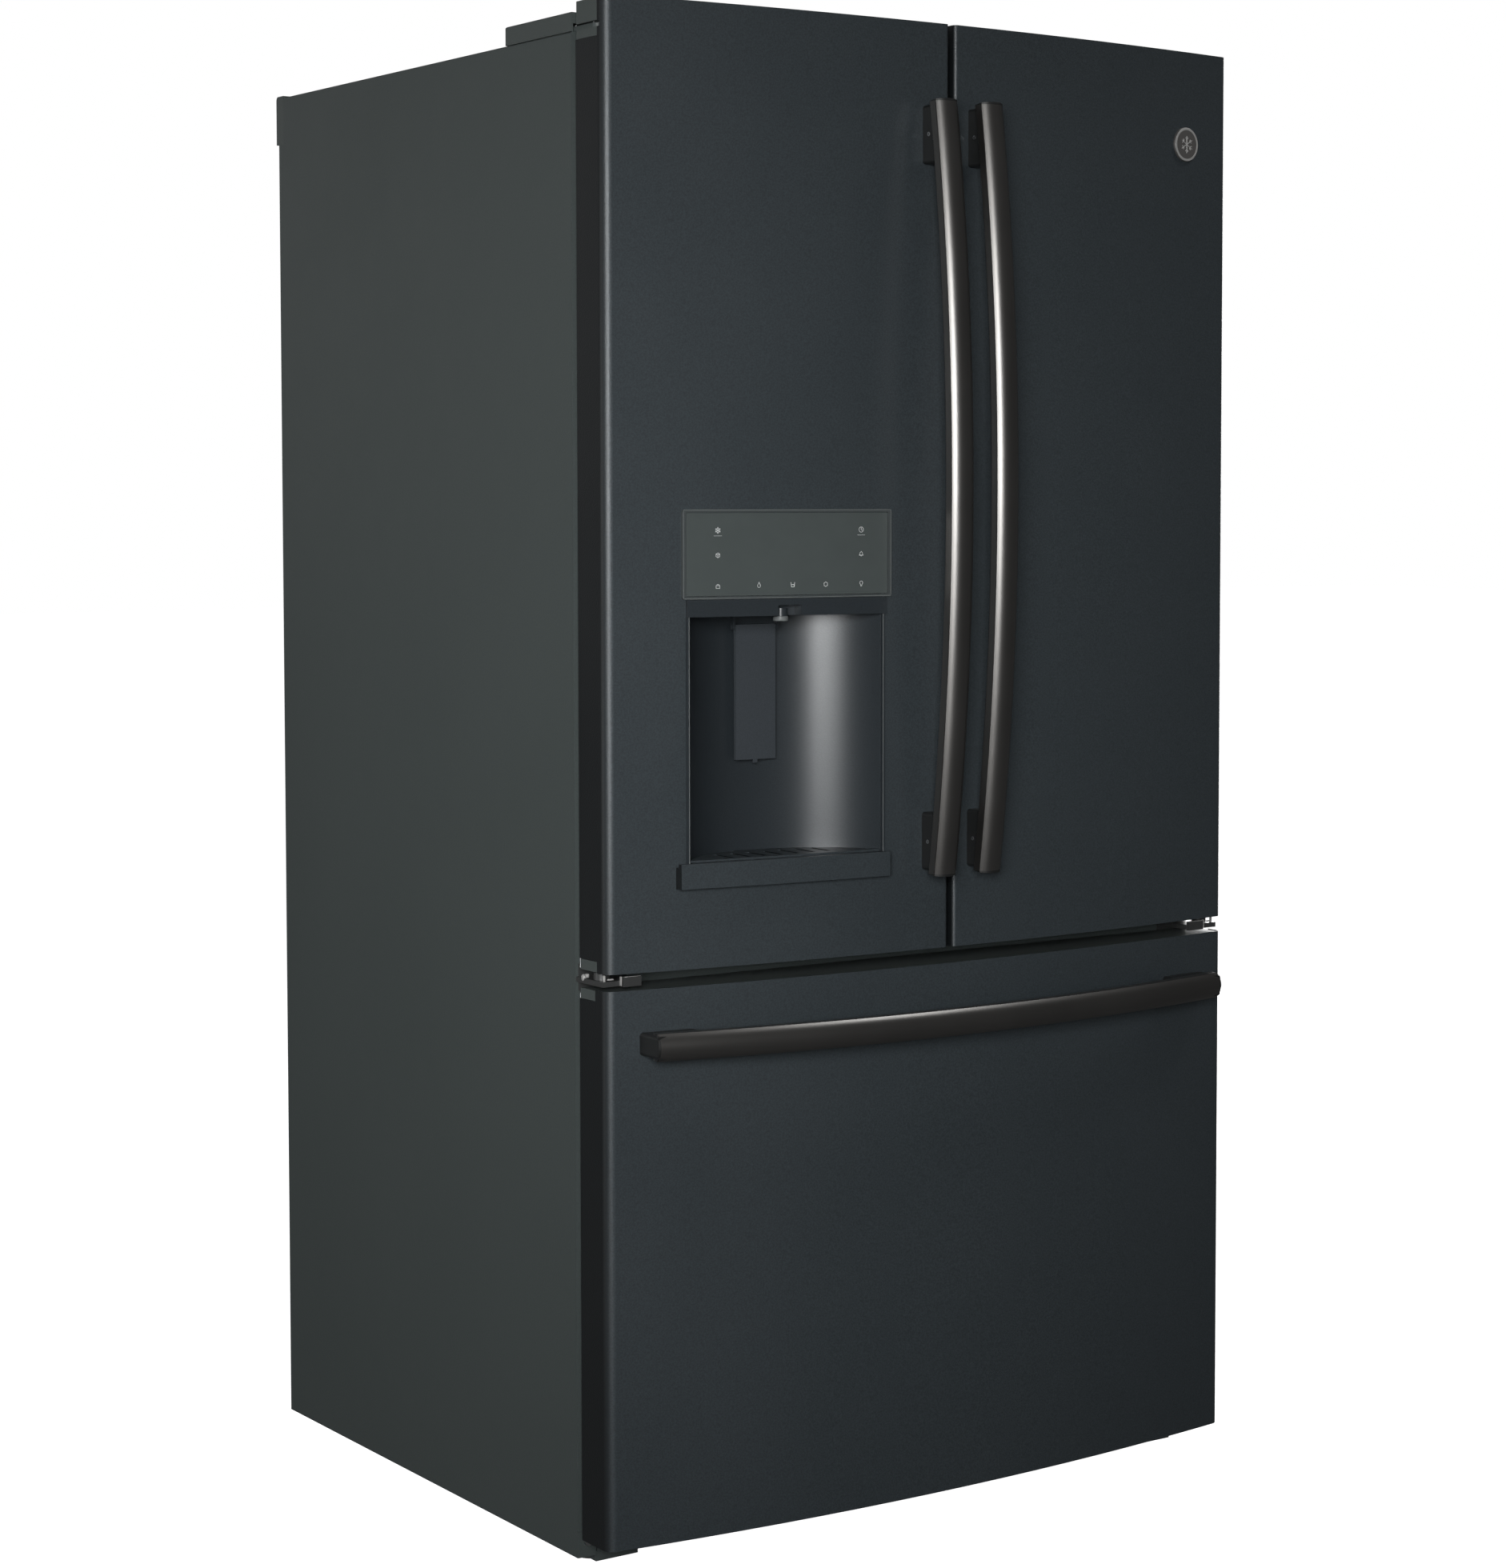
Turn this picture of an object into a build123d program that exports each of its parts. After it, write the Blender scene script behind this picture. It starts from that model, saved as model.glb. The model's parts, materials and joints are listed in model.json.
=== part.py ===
from build123d import *
import math
import os

os.makedirs("parts", exist_ok=True)

# French door refrigerator with a bottom freezer drawer and a dispenser in the left door.
# Frame: +Z up, the doors face -Y, +X to the right, origin under the middle of the whole outline.

# Driving dimensions, in millimetres
width = 908.0
half_width = width / 2
case_depth = 746.0
case_bottom = 20.0
case_top = 1742.0
cover_top = 1763.6
cover_depth = 147.5
sheet = 1.2

front_crown = 99.6  # from the cabinet's front plane to the middle of the curved fronts
front_radius = 3246.0
door_back = 10.3  # gap that the gaskets close
skin = 1.2
door_bottom = 696.0
door_top = 1775.0
drawer_bottom = 44.0
drawer_top = 677.0
door_inner = 3.75  # half of the gap between the doors
outer_corner = 12.0
inner_corner = 5.0

handle_reach = 73.0
handle_width = 31.0
handle_side = 14.0
handle_crown = 7.0
handle_offset = 33.0
handle_low = 785.0
handle_high = 1684.0
handle_bow = 33.0
drawer_handle_reach = 62.0
drawer_handle_z = 616.0
drawer_handle_half = 414.0
drawer_handle_bow = 48.0
rear_trim_proud = 7.0

pivot_inset = 12.0
pivot_depth = -38.0
pin_radius = 6.0
running_gap = 0.05

room = 400.0  # half width inside both compartments
fresh_floor = 742.0
fresh_ceiling = 1690.0
fresh_depth = 690.0
freezer_floor = 72.0
freezer_ceiling = 640.0
freezer_depth = 650.0
freezer_step = 290.0
freezer_low_depth = 500.0
liner_wall = 3.0
bay_front = 540.0
bay_top = 262.0

recess_low = -352.0
recess_high = -99.0
recess_floor = 815.0
recess_top = 1092.0
recess_back = -14.5

# Places worked out from them
case_front = (front_crown + handle_reach - case_depth - rear_trim_proud) / 2
arc_centre = case_front - front_crown + front_radius
pivot_x = half_width - pivot_inset
recess_middle = (recess_low + recess_high) / 2
sides = (-1, 1)


def at(depth):
    """Y of a plane this far behind the cabinet's front face."""
    return case_front + depth


def front_y(x, proud=0.0):
    """Y of the curved front at x, on a surface that stands proud of it."""
    return arc_centre - math.sqrt((front_radius + proud) ** 2 - x**2)


def reach(side, inner, outer):
    """X range of something between two distances from the middle, on one side."""
    return tuple(sorted((side * inner, side * outer)))


def block(xs, ys, zs, mode=Mode.ADD):
    """A box between limits, in the part being built."""
    with Locations(((xs[0] + xs[1]) / 2, (ys[0] + ys[1]) / 2, (zs[0] + zs[1]) / 2)):
        Box(xs[1] - xs[0], ys[1] - ys[0], zs[1] - zs[0], mode=mode)


def post(x, y, zs, radius, mode=Mode.ADD):
    """An upright cylinder, in the part being built."""
    with Locations((x, y, (zs[0] + zs[1]) / 2)):
        Cylinder(radius, zs[1] - zs[0], mode=mode)


def panel(xs, zs, back, proud=0.0, corners=(0.0, 0.0), mode=Mode.ADD):
    """A panel with a flat back and the shared curved front, in the part being built."""
    middle = (xs[0] + xs[1]) / 2
    with BuildSketch(Plane.XY.offset(zs[0]), mode=Mode.PRIVATE) as outline:
        with BuildLine():
            arc = ThreePointArc(*[(x, front_y(x, proud)) for x in (xs[0], middle, xs[1])])
            Polyline(arc @ 1, (xs[1], back), (xs[0], back), arc @ 0)
        make_face()
        for x, radius in zip(xs, corners):
            if radius > 0:
                fillet(vertices().sort_by_distance((x, front_y(x, proud)))[0], radius)
    extrude(outline.sketch, amount=zs[1] - zs[0], mode=mode)


def curved_band(xs, zs, proud, thickness, mode=Mode.ADD):
    """A plate that follows the curved front, in the part being built."""
    middle = (xs[0] + xs[1]) / 2
    outer = [(x, front_y(x, proud)) for x in (xs[0], middle, xs[1])]
    inner = [(x, front_y(x, proud - thickness)) for x in (xs[1], middle, xs[0])]
    with BuildSketch(Plane.XY.offset(zs[0]), mode=Mode.PRIVATE) as outline:
        with BuildLine():
            ThreePointArc(*outer)
            Line(outer[2], inner[0])
            ThreePointArc(*inner)
            Line(inner[2], outer[0])
        make_face()
    extrude(outline.sketch, amount=zs[1] - zs[0], mode=mode)


def save(built, name):
    """Label a finished piece and write it."""
    built.part.label = name
    export_step(built.part, f"parts/{name}.step")


# ---------------------------------------------------------------- cabinet
trim_front = 733.0
trim_low = 1682.0
inside = half_width - sheet

with BuildPart() as case_wrapper:
    block((-half_width, half_width), (at(0), at(case_depth)), (case_bottom, case_top))
    fillet(edges().filter_by(Axis.Y).group_by(Axis.Z)[-1], 3)
    block((-inside, inside), (at(-1), at(case_depth + 1)), (0, case_top - sheet), Mode.SUBTRACT)
    block((-500, 500), (at(trim_front), at(case_depth + 1)), (trim_low, 1800), Mode.SUBTRACT)
save(case_wrapper, "case_wrapper")

with BuildPart() as face_frame:
    block((-inside, inside), (at(0), at(1.5)), (case_bottom, case_top - sheet))
    block((-room, room), (at(-1), at(2)), (fresh_floor, fresh_ceiling), Mode.SUBTRACT)
    block((-room, room), (at(-1), at(2)), (freezer_floor, freezer_ceiling), Mode.SUBTRACT)
save(face_frame, "face_frame")

ledge_height = 941.0
with BuildPart() as fresh_food_liner:
    outer = room + liner_wall
    block((-outer, outer), (at(1.5), at(fresh_depth + liner_wall)),
          (fresh_floor - liner_wall, fresh_ceiling + liner_wall))
    block((-room, room), (at(0), at(fresh_depth)), (fresh_floor, fresh_ceiling), Mode.SUBTRACT)
    for side in sides:
        block(reach(side, room - 8, room), (at(185), at(fresh_depth)), (ledge_height - 6, ledge_height))
        for track in (60, 340):
            block(reach(side, track, track + 16), (at(680), at(fresh_depth)), (1000, 1600))
save(fresh_food_liner, "fresh_food_liner")

with BuildPart() as freezer_liner:
    outer = room + liner_wall
    block((-outer, outer), (at(1.5), at(freezer_low_depth + liner_wall)),
          (freezer_floor - liner_wall, freezer_ceiling + liner_wall))
    block((-outer, outer), (at(1.5), at(freezer_depth + liner_wall)),
          (freezer_step - liner_wall, freezer_ceiling + liner_wall))
    block((-room, room), (at(0), at(freezer_low_depth)), (freezer_floor, freezer_ceiling), Mode.SUBTRACT)
    block((-room, room), (at(0), at(freezer_depth)), (freezer_step, freezer_ceiling), Mode.SUBTRACT)
save(freezer_liner, "freezer_liner")

with BuildPart() as insulation:
    outer = room + liner_wall
    block((-inside, inside), (at(1.5), at(case_depth - 2)), (case_bottom + 1.5, case_top - sheet))
    block((-outer, outer), (at(0), at(fresh_depth + liner_wall)),
          (fresh_floor - liner_wall, fresh_ceiling + liner_wall), Mode.SUBTRACT)
    block((-outer, outer), (at(0), at(freezer_low_depth + liner_wall)),
          (freezer_floor - liner_wall, freezer_ceiling + liner_wall), Mode.SUBTRACT)
    block((-outer, outer), (at(0), at(freezer_depth + liner_wall)),
          (freezer_step - liner_wall, freezer_ceiling + liner_wall), Mode.SUBTRACT)
    block((-500, 500), (at(bay_front - 1.5), at(case_depth)), (0, bay_top), Mode.SUBTRACT)
save(insulation, "insulation")

deck_plate = 44.0
roller_x = 400.0
roller_y = 690.0
roller_radius = 18.0
axle_radius = 3.0
with BuildPart() as bottom_deck:
    block((-inside, inside), (at(1.5), at(bay_front)), (case_bottom, case_bottom + 1.5))
    block((-inside, inside), (at(bay_front - 1.5), at(bay_front)), (case_bottom, bay_top))
    block((-inside, inside), (at(bay_front - 1.5), at(case_depth - 2)), (bay_top - 1.5, bay_top))
    block((-inside, inside), (at(bay_front - 1.5), at(case_depth - 2)), (deck_plate, deck_plate + 1.5))
    for side in sides:
        for ear in (roller_x - 15, roller_x + 12):
            block(reach(side, ear, ear + 3), (at(roller_y - 12), at(roller_y + 12)), (8, deck_plate))
        with Locations(Location((side * roller_x, at(roller_y), roller_radius), (0, 90, 0))):
            Cylinder(axle_radius + running_gap, 40, mode=Mode.SUBTRACT)
save(bottom_deck, "bottom_deck")

with BuildPart() as back_panel:
    block((-inside, inside), (at(case_depth - 2), at(case_depth - 1)), (bay_top, case_top - sheet))
save(back_panel, "back_panel")

with BuildPart() as machine_cover:
    block((-inside, inside), (at(case_depth - 2), at(case_depth - 1)), (deck_plate + 1.5, bay_top))
    for row in range(5):
        for column in range(14):
            slot_x = -325 + 50 * column
            slot_z = 90 + 30 * row
            block((slot_x - 18, slot_x + 18), (at(case_depth - 3), at(case_depth)),
                  (slot_z - 3, slot_z + 3), Mode.SUBTRACT)
save(machine_cover, "machine_cover")

cover_wall = 2.5
arm_outer = 450.0
arm_inner = 434.0
with BuildPart() as top_cover:
    block((-half_width, half_width), (at(0), at(cover_depth)), (case_top, cover_top))
    fillet(edges().group_by(Axis.Z)[-1], 2.5)
    hollow = half_width - cover_wall
    block((-hollow, hollow), (at(cover_wall), at(cover_depth - cover_wall)),
          (case_top - 1, cover_top - cover_wall), Mode.SUBTRACT)
    for side in sides:
        block(reach(side, arm_inner - 4, arm_outer + 1), (at(-1), at(cover_wall + 1)),
              (case_top - 1, case_top + 9), Mode.SUBTRACT)
save(top_cover, "top_cover")

with BuildPart() as rear_trim:
    block((-half_width, half_width), (at(trim_front), at(case_depth + rear_trim_proud)),
          (trim_low, case_top + 2))
    fillet(edges().filter_by(Axis.X).group_by(Axis.Z)[-1].sort_by(Axis.Y)[-1], 5)
    block((-inside, inside), (at(trim_front - 1), at(case_depth - 1)),
          (trim_low - 1, case_top - sheet), Mode.SUBTRACT)
    block((-440, 440), (at(case_depth - 2), at(case_depth + rear_trim_proud - 2)),
          (trim_low - 1, case_top - 2), Mode.SUBTRACT)
save(rear_trim, "rear_trim")

# ---------------------------------------------------------------- hinges, brackets and fasteners
pin_top = door_top - 33
hinge_floor = 1731.0
with BuildPart() as top_hinges:
    for side in sides:
        block(reach(side, 416, arm_outer), (at(4), at(130)), (case_top, case_top + 5))
        block(reach(side, arm_inner, arm_outer), (at(pivot_depth), at(6)), (case_top, case_top + 5))
        post(side * pivot_x, at(pivot_depth), (case_top, case_top + 5), 8)
        post(side * pivot_x, at(pivot_depth), (hinge_floor + 2, case_top), 8)
        post(side * pivot_x, at(pivot_depth), (hinge_floor - 14, case_top), pin_radius)
save(top_hinges, "top_hinges")

bracket_low = 681.0
with BuildPart() as mid_hinges:
    for side in sides:
        block(reach(side, 404, 453), (at(-58), at(0)), (bracket_low, bracket_low + 6))
        block(reach(side, 404, 450), (at(-3), at(0)), (671, 701))
        block(reach(side, 404.5, 428.5), (at(-62), at(-58)), (bracket_low - 1, bracket_low + 10))
        post(side * pivot_x, at(pivot_depth), (bracket_low, door_bottom - 0.5), 9)
        post(side * pivot_x, at(pivot_depth), (bracket_low, door_bottom + 14), pin_radius)
save(mid_hinges, "mid_hinges")

leg_x = 400.0
leg_y = 60.0
stud_radius = 5.0
with BuildPart() as front_brackets:
    for side in sides:
        block(reach(side, 374, 430), (at(0), at(100)), (12, case_bottom))
        block(reach(side, 430.6, half_width), (at(-2), at(0)), (case_bottom + 0.5, 50))
        block(reach(side, 420.5, 429.4), (at(-2), at(0)), (case_bottom + 4, 46))
        post(side * leg_x, at(leg_y), (0, 30), stud_radius + running_gap, Mode.SUBTRACT)
save(front_brackets, "front_brackets")

with BuildPart() as screws:
    for side in sides:
        for bolt_y in (25, 65, 105):
            post(side * 432, at(bolt_y), (case_top + 5, case_top + 10), 6)
        with Locations(Location((side * pivot_x, at(-4), 39), (90, 0, 0))):
            Cylinder(5.2, 4)
        for bolt_x in (411, 425):
            with Locations(Location((side * bolt_x, at(-5), 694), (90, 0, 0))):
                Cylinder(4, 4)
save(screws, "screws")

for side, name in zip(sides, ("leg_left", "leg_right")):
    with BuildPart() as leg:
        post(side * leg_x, at(leg_y), (0, 5), 20)
        fillet(leg.edges().group_by(Axis.Z)[-1], 2)
        with BuildSketch(Plane.XY.offset(5)):
            with Locations((side * leg_x, at(leg_y))):
                RegularPolygon(9, 6)
        extrude(amount=6.5)
        post(side * leg_x, at(leg_y), (5, case_bottom - 0.3), stud_radius)
    save(leg, name)

for side, name in zip(sides, ("roller_left", "roller_right")):
    with BuildPart() as roller:
        with Locations(Location((side * roller_x, at(roller_y), roller_radius), (0, 90, 0))):
            Cylinder(roller_radius, 20)
        fillet(roller.edges().filter_by(GeomType.CIRCLE), 2)
        with Locations(Location((side * roller_x, at(roller_y), roller_radius), (0, 90, 0))):
            Cylinder(axle_radius, 34)
    save(roller, name)

# ---------------------------------------------------------------- cooling system
coil_x = 250.0
with BuildPart() as evaporator:
    for fin in range(16):
        fin_x = -coil_x + 2 * coil_x * fin / 15
        block((fin_x - 0.75, fin_x + 0.75), (at(619), at(647)), (305, 480))
    for tube_z in range(320, 480, 30):
        with Locations(Location((0, at(633), tube_z), (0, 90, 0))):
            Cylinder(5, 2 * coil_x + 20)
save(evaporator, "evaporator")

fan_z = 560.0
shaft_radius = 3.0
with BuildPart() as evaporator_cover:
    block((-room + 1, room - 1), (at(610), at(613)), (freezer_step + 2, freezer_ceiling - 2))
    for slot in range(9):
        block((-320 + 75 * slot, -280 + 75 * slot), (at(609), at(614)), (305, 312), Mode.SUBTRACT)
        block((-320 + 75 * slot, -280 + 75 * slot), (at(609), at(614)), (618, 625), Mode.SUBTRACT)
    with Locations(Location((0, at(616.5), fan_z), (90, 0, 0))):
        Cylinder(16, 7)
    with Locations(Location((0, at(628), fan_z), (90, 0, 0))):
        Cylinder(shaft_radius, 30)
save(evaporator_cover, "evaporator_cover")


def fan(place, hub_radius, blade_radius, depth, bore, blades):
    """A fan about the local Z axis of a location, in the part being built."""
    with Locations(place):
        Cylinder(hub_radius, depth)
        with PolarLocations((hub_radius + blade_radius) / 2 - 1, blades):
            Box(blade_radius - hub_radius + 2, blade_radius * 0.55, 1.6, rotation=(28, 0, 0))
        Cylinder(bore, depth * 3, mode=Mode.SUBTRACT)


with BuildPart() as evaporator_fan:
    fan(Location((0, at(633), fan_z), (90, 0, 0)), 13, 50, 16, shaft_radius + running_gap, 5)
save(evaporator_fan, "evaporator_fan")

deck_top = deck_plate + 1.5
blower_x = 90.0
blower_y = 640.0
blower_z = 150.0
with BuildPart() as condensing_unit:
    post(-190, at(blower_y), (deck_top + 14, deck_top + 110), 78)
    fillet(condensing_unit.edges().group_by(Axis.Z)[-1], 40)
    for foot in sides:
        block((-190 - 90, -190 + 90), (at(blower_y + foot * 50 - 10), at(blower_y + foot * 50 + 10)),
              (deck_top, deck_top + 16))
    for plate in range(9):
        block((210 + 18 * plate, 211.5 + 18 * plate), (at(570), at(712)), (deck_top, deck_top + 165))
    for tube_z in range(70, 200, 25):
        for tube_y in (600, 640, 680):
            with Locations(Location((282, at(tube_y), tube_z), (0, 90, 0))):
                Cylinder(4, 170)
    block((20, 28), (at(blower_y - 14), at(blower_y + 14)), (deck_top, blower_z + 22))
    block((28, 66), (at(blower_y - 22), at(blower_y + 22)), (blower_z - 22, blower_z + 22))
    with Locations(Location((blower_x - 4, at(blower_y), blower_z), (0, 90, 0))):
        Cylinder(4, 52)
save(condensing_unit, "condensing_unit")

with BuildPart() as condenser_fan:
    fan(Location((blower_x, at(blower_y), blower_z), (0, 90, 0)), 15, 72, 20, 4 + running_gap, 5)
save(condenser_fan, "condenser_fan")

with BuildPart() as cord_gland:
    with Locations(Location((-380, at(case_depth + 1.5), 220), (90, 0, 0))):
        Cylinder(13, 5)
        Cylinder(4.5, 8, mode=Mode.SUBTRACT)
save(cord_gland, "cord_gland")

# ---------------------------------------------------------------- shelves and crispers
shelf_front = 170.0
shelf_back = 680.0
with BuildPart() as glass_shelves:
    for side, shelf_z in ((-1, 1160), (1, 1160), (1, 1400)):
        xs = reach(side, 6, 392)
        block(xs, (at(shelf_front), at(shelf_back)), (shelf_z - 12, shelf_z + 4))
        pane = ((xs[0] + 8, xs[1] - 8), (at(shelf_front + 8), at(shelf_back - 8)))
        block(*pane, (shelf_z, shelf_z + 5), Mode.SUBTRACT)
        block(*pane, (shelf_z - 13, shelf_z - 4), Mode.SUBTRACT)
save(glass_shelves, "glass_shelves")

crisper_front = 190.0
with BuildPart() as crisper_frame:
    block((-396, 396), (at(crisper_front - 4), at(shelf_back)), (ledge_height, ledge_height + 14))
    for side in sides:
        block(reach(side, 8, 386), (at(crisper_front + 6), at(shelf_back - 10)),
              (ledge_height - 1, ledge_height + 8), Mode.SUBTRACT)
    block((-4, 4), (at(crisper_front), at(shelf_back)), (fresh_floor + 0.5, ledge_height + 1))
save(crisper_frame, "crisper_frame")

for side, name in zip(sides, ("crisper_left", "crisper_right")):
    with BuildPart() as crisper:
        xs = reach(side, 10, 388)
        block(xs, (at(crisper_front), at(665)), (fresh_floor + 5, ledge_height - 8))
        block((xs[0] + 3, xs[1] - 3), (at(crisper_front + 4), at(662)),
              (fresh_floor + 8, ledge_height), Mode.SUBTRACT)
        block((xs[0] + 60, xs[1] - 60), (at(crisper_front - 12), at(crisper_front)),
              (ledge_height - 26, ledge_height - 8))
        block((xs[0] + 60, xs[1] - 60), (at(crisper_front - 9), at(crisper_front)),
              (ledge_height - 30, ledge_height - 12), Mode.SUBTRACT)
    save(crisper, name)


# ---------------------------------------------------------------- door and drawer shells
def shell(xs, zs, corners):
    """Sheet metal wrapped round the front and both sides, in the part being built."""
    back = at(-door_back)
    panel(xs, zs, back, 0, corners)
    inner = (xs[0] + skin, xs[1] - skin)
    inner_corners = [max(radius - skin, 0.5) for radius in corners]
    panel(inner, (zs[0] - 1, zs[1] + 1), back + 1, -skin, inner_corners, Mode.SUBTRACT)
    for flange in ((xs[0] + skin, xs[0] + 13), (xs[1] - 13, xs[1] - skin)):
        block(flange, (back - skin, back), zs)


def filler(xs, zs, corners, clearance=0.3):
    """A moulded end cap that fits inside the shell, in the part being built."""
    set_in = skin + clearance
    inner_corners = [max(radius - set_in, 0.5) for radius in corners]
    panel((xs[0] + set_in, xs[1] - set_in), zs, at(-door_back - skin - 0.3), -set_in, inner_corners)


def inner_panel(xs, zs, opening_x, opening_z, dyke_depth):
    """A moulded inner panel with a hollow raised ridge, in the part being built."""
    wall = 2.5
    plate = at(-door_back)
    block(xs, (plate, plate + wall), zs)
    rings = ((0, dyke_depth, Mode.ADD), (wall, dyke_depth - wall, Mode.SUBTRACT))
    for set_in, depth, mode in rings:
        block((opening_x[0] + set_in, opening_x[1] - set_in), (plate, at(depth)),
              (opening_z[0] + set_in, opening_z[1] - set_in), mode)
    ridge = 32.0
    well = ((opening_x[0] + ridge, opening_x[1] - ridge), (opening_z[0] + ridge, opening_z[1] - ridge))
    block((well[0][0] - wall, well[0][1] + wall), (plate, at(dyke_depth)),
          (well[1][0] - wall, well[1][1] + wall))
    block(well[0], (plate + wall, at(dyke_depth + 1)), well[1], Mode.SUBTRACT)


def gasket(xs, zs, strip):
    """A ring seal on the back of a door, in the part being built."""
    ys = (at(-door_back + 2.5), at(-0.3))
    block(xs, ys, zs)
    block((xs[0] + strip, xs[1] - strip), (ys[0] - 1, ys[1] + 1), (zs[0] + strip, zs[1] - strip),
          Mode.SUBTRACT)


def tub(xs, ys, zs, wall):
    """An open-topped bin, in the part being built."""
    block(xs, ys, zs)
    block((xs[0] + wall, xs[1] - wall), (ys[0] + wall, ys[1] - wall), (zs[0] + wall, zs[1] + 1),
          Mode.SUBTRACT)


def handle_section(plane):
    """The handle's section, its crowned face at the plane's origin and its back along local Y."""
    edge = handle_width / 2
    back = handle_crown + handle_side
    groove = 1.2
    cut = edge - 0.9
    with BuildSketch(plane, mode=Mode.PRIVATE) as section:
        with BuildLine():
            ThreePointArc((-edge, handle_crown), (0, 0), (edge, handle_crown))
            Polyline((edge, handle_crown), (cut, handle_crown), (cut, handle_crown + groove),
                     (edge, handle_crown + groove), (edge, back), (-edge, back),
                     (-edge, handle_crown + groove), (-cut, handle_crown + groove),
                     (-cut, handle_crown), (-edge, handle_crown))
        make_face()
        fillet(vertices().group_by(Axis.Y)[-1], 3)
    return section.sketch


def bowed_bar(plane, axis_direction, half_length, bow):
    """A handle bar bent to a large arc, in the part being built."""
    radius = (half_length**2 + bow**2) / (2 * bow)
    axis = Axis(plane.origin + Vector(0, radius, 0), axis_direction)
    sweep_angle = math.degrees(math.asin(half_length / radius))
    for turn in (sweep_angle, -sweep_angle):
        revolve(handle_section(plane), axis=axis, revolution_arc=turn)


cap_length = 3.0
mount_length = 68.0
handle_middle = (handle_low + handle_high) / 2
handle_half = (handle_high - handle_low) / 2
handle_front = at(-front_crown - handle_reach)
door_names = {-1: "left", 1: "right"}
door_spans = {side: reach(side, door_inner, half_width) for side in sides}
door_corners = {-1: (outer_corner, inner_corner), 1: (inner_corner, outer_corner)}
gasket_span = (8.0, 438.0)

for side in sides:
    name = door_names[side]
    xs = door_spans[side]
    corners = door_corners[side]
    pin_place = (side * pivot_x, at(pivot_depth))
    hinge_pocket = (reach(side, 430, half_width + 1), (at(-56), at(0)), (hinge_floor, 1800))
    arm_slot = (reach(side, 430, half_width + 1), (at(-60), at(0)), (case_top - 1, case_top + 6))
    corner_patch = reach(side, 430, half_width + 1)

    with BuildPart() as door_skin:
        shell(xs, (door_bottom, door_top), corners)
        block(*hinge_pocket, Mode.SUBTRACT)
        block(*arm_slot, Mode.SUBTRACT)
        block(corner_patch, (at(-48), at(0)), (door_bottom - 1, door_bottom + 13), Mode.SUBTRACT)
        if side < 0:
            panel((recess_low - 4, recess_high + 4), (798, 1206), at(-50), 5, mode=Mode.SUBTRACT)
    save(door_skin, f"{name}_door_skin")

    with BuildPart() as door_caps:
        filler(xs, (door_bottom + 1, door_bottom + 16), corners)
        block(reach(side, 448, half_width), (at(-47.7), at(-door_back - 2)),
              (door_bottom + 1, door_bottom + 12.7))
        filler(xs, (hinge_floor - 12, door_top - 2), corners)
        block(reach(side, 9, 424), (at(-75), at(-20)), (hinge_floor - 13, door_top - 5), Mode.SUBTRACT)
        block(*hinge_pocket, Mode.SUBTRACT)
        block(*arm_slot, Mode.SUBTRACT)
        block(reach(side, 429, 452.5), (at(-55.5), at(-12)), (door_top - 4, door_top - 2))
        for wall_z in ((hinge_floor - 1, case_top - 1), (case_top + 6, door_top - 2)):
            block(reach(side, 450.4, 452.5), (at(-55.5), at(-12)), wall_z)
            outer_z = (max(wall_z[0], hinge_floor + 0.3), wall_z[1])
            block(reach(side, 452, half_width), (at(-55.5), at(-12)), outer_z)
        post(*pin_place, (door_bottom, door_top - 5), pin_radius + running_gap, Mode.SUBTRACT)
    save(door_caps, f"{name}_door_caps")

    with BuildPart() as door_liner:
        inner_panel(reach(side, 6, 452), (door_bottom + 2, door_top - 2), reach(side, 36, 394),
                    (756, 1676), 52)
        block(*hinge_pocket, Mode.SUBTRACT)
        if side < 0:
            for bracket in ((745, 755.5), (1676.5, 1686)):
                block((-36, -22.5), (at(-door_back), at(14.5)), bracket)
            for pin in ((755, 762), (1670, 1677)):
                post(-25, at(10), pin, 2)
    save(door_liner, f"{name}_door_liner")

    with BuildPart() as door_gasket:
        gasket(reach(side, *gasket_span), (704, 1730), 14)
    save(door_gasket, f"{name}_door_gasket")

    with BuildPart() as door_bins:
        for low in ((790, 1010) if side < 0 else (790, 1060, 1330)):
            tub(reach(side, 70, 360), (at(-7), at(104)), (low, low + 105), 3)
    save(door_bins, f"{name}_door_bins")

    with BuildPart() as whole_bar:
        bowed_bar(Plane(origin=(side * handle_offset, handle_front, handle_middle), x_dir=(1, 0, 0),
                        z_dir=(0, 0, 1)), (1, 0, 0), handle_half, handle_bow)
    sleeve_zone = ((-500, 500), (at(-300), at(0)), (handle_low + cap_length, handle_high - cap_length))

    with BuildPart() as handle:
        add(whole_bar.part)
        block(*sleeve_zone, Mode.INTERSECT)
    save(handle, f"{name}_handle")

    with BuildPart() as end_caps:
        add(whole_bar.part)
        block(*sleeve_zone, Mode.SUBTRACT)

    with BuildPart() as mounts:
        for low in (handle_low + 5, handle_high - 5 - mount_length):
            block((side * handle_offset - 9, side * handle_offset + 9),
                  (handle_front + 38, at(-90)), (low, low + mount_length))
        fillet(mounts.edges().filter_by(Axis.Y), 4)
        post(0, arc_centre, (700, 1750), front_radius, Mode.SUBTRACT)
        add(whole_bar.part, mode=Mode.SUBTRACT)
        add(end_caps.part)
    save(mounts, f"{name}_handle_mounts")

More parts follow.
